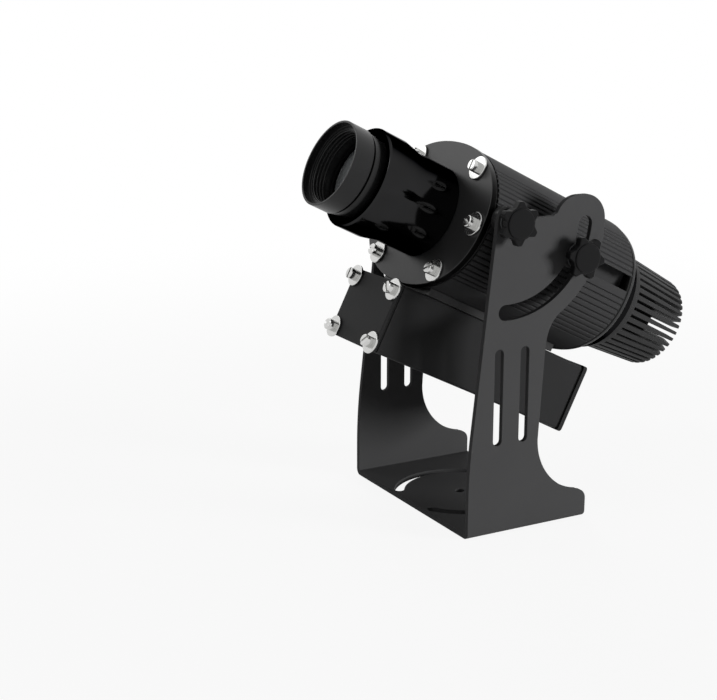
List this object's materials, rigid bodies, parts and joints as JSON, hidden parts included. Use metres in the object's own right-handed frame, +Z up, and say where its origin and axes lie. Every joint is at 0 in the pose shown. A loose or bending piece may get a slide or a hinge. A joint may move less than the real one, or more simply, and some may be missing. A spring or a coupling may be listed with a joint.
{
  "type": "gobo projector",
  "caption": "Oval-bodied gobo projector with focusing lens tube, finned heat sink and driver box, tilting in a slotted plate yoke with star knobs.",
  "frame": {"origin": "on the underside of the yoke's base, straight below the tilt axis, midway between the arms", "axes": "+Z up, +X along the tilt axis towards one arm, the lens looks towards -Y and upwards at rest"},
  "size_m": [0.1778, 0.2967, 0.27],
  "materials": {
    "yoke_black": "satin",
    "satin_black_aluminium": "satin",
    "gloss_black_aluminium": "gloss",
    "gasket_rubber": "matte",
    "optical_glass": "polished",
    "black_plastic": "satin",
    "green_board": "satin",
    "white_board": "satin",
    "yellow_phosphor": "satin",
    "nickel_plated_steel": "polished",
    "plain_steel": "satin"
  },
  "bodies": {
    "yoke": {"yoke_bracket": "yoke_black"},
    "head": {"body_tube": "satin_black_aluminium", "front_gasket": "gasket_rubber", "front_plate": "satin_black_aluminium", "front_screw_1": "nickel_plated_steel", "front_screw_2": "nickel_plated_steel", "front_screw_3": "nickel_plated_steel", "front_screw_4": "nickel_plated_steel", "front_screw_5": "nickel_plated_steel", "front_screw_6": "nickel_plated_steel", "lens_barrel": "gloss_black_aluminium", "rear_lens": "optical_glass", "rear_lens_ring": "satin_black_aluminium", "optics_sleeve": "satin_black_aluminium", "gobo_holder": "satin_black_aluminium", "gobo_disc": "plain_steel", "gobo_ring": "plain_steel", "front_condenser": "optical_glass", "rear_condenser": "optical_glass", "condenser_spacer": "satin_black_aluminium", "heat_sink": "satin_black_aluminium", "lamp_board": "white_board", "lamp_chip": "yellow_phosphor", "rear_gasket": "gasket_rubber", "rear_plate": "satin_black_aluminium", "neck_ring": "gloss_black_aluminium", "saddle": "satin_black_aluminium", "saddle_screw_1": "plain_steel", "saddle_screw_2": "plain_steel", "driver_box": "satin_black_aluminium", "driver_front_gasket": "gasket_rubber", "driver_front_plate": "satin_black_aluminium", "driver_screw_1": "nickel_plated_steel", "driver_screw_2": "nickel_plated_steel", "driver_screw_3": "nickel_plated_steel", "driver_screw_4": "nickel_plated_steel", "driver_rear_gasket": "gasket_rubber", "driver_rear_plate": "satin_black_aluminium", "driver_board": "green_board", "cable_gland": "black_plastic", "pivot_nut_right": "plain_steel", "pivot_nut_left": "plain_steel", "pivot_spacer_right": "satin_black_aluminium", "pivot_spacer_left": "satin_black_aluminium", "pivot_washer_right": "plain_steel", "pivot_washer_left": "plain_steel", "lock_nut_right": "plain_steel", "lock_nut_left": "plain_steel", "lock_spacer_right": "satin_black_aluminium", "lock_spacer_left": "satin_black_aluminium", "lock_washer_right": "plain_steel", "lock_washer_left": "plain_steel"},
    "focus": {"focus_tube": "gloss_black_aluminium", "front_lens": "optical_glass", "front_lens_ring": "satin_black_aluminium"},
    "pivot_knob_right_body": {"pivot_knob_right": "black_plastic"},
    "pivot_knob_left_body": {"pivot_knob_left": "black_plastic"},
    "lock_knob_right_body": {"lock_knob_right": "black_plastic"},
    "lock_knob_left_body": {"lock_knob_left": "black_plastic"}
  },
  "joints": [
    {"name": "head_tilt", "type": "hinge", "parent": "yoke", "child": "head", "pos_m": [0, 0, 0.2098], "axis": [1, 0, 0], "range_deg": [-33, 20]},
    {"name": "focus_slide", "type": "slide", "parent": "head", "child": "focus", "axis": [0, -0.8934, 0.4493], "range_m": [-0.007, 0.01]},
    {"name": "pivot_knob_right_turn", "type": "hinge", "parent": "head", "child": "pivot_knob_right_body", "pos_m": [0, 0, 0.2098], "axis": [1, 0, 0], "range_deg": [0, 270]},
    {"name": "pivot_knob_left_turn", "type": "hinge", "parent": "head", "child": "pivot_knob_left_body", "pos_m": [0, 0, 0.2098], "axis": [-1, 0, 0], "range_deg": [0, 270]},
    {"name": "lock_knob_right_turn", "type": "hinge", "parent": "head", "child": "lock_knob_right_body", "pos_m": [0, 0.05271, 0.18329], "axis": [1, 0, 0], "range_deg": [0, 270]},
    {"name": "lock_knob_left_turn", "type": "hinge", "parent": "head", "child": "lock_knob_left_body", "pos_m": [0, 0.05271, 0.18329], "axis": [-1, 0, 0], "range_deg": [0, 270]}
  ]
}
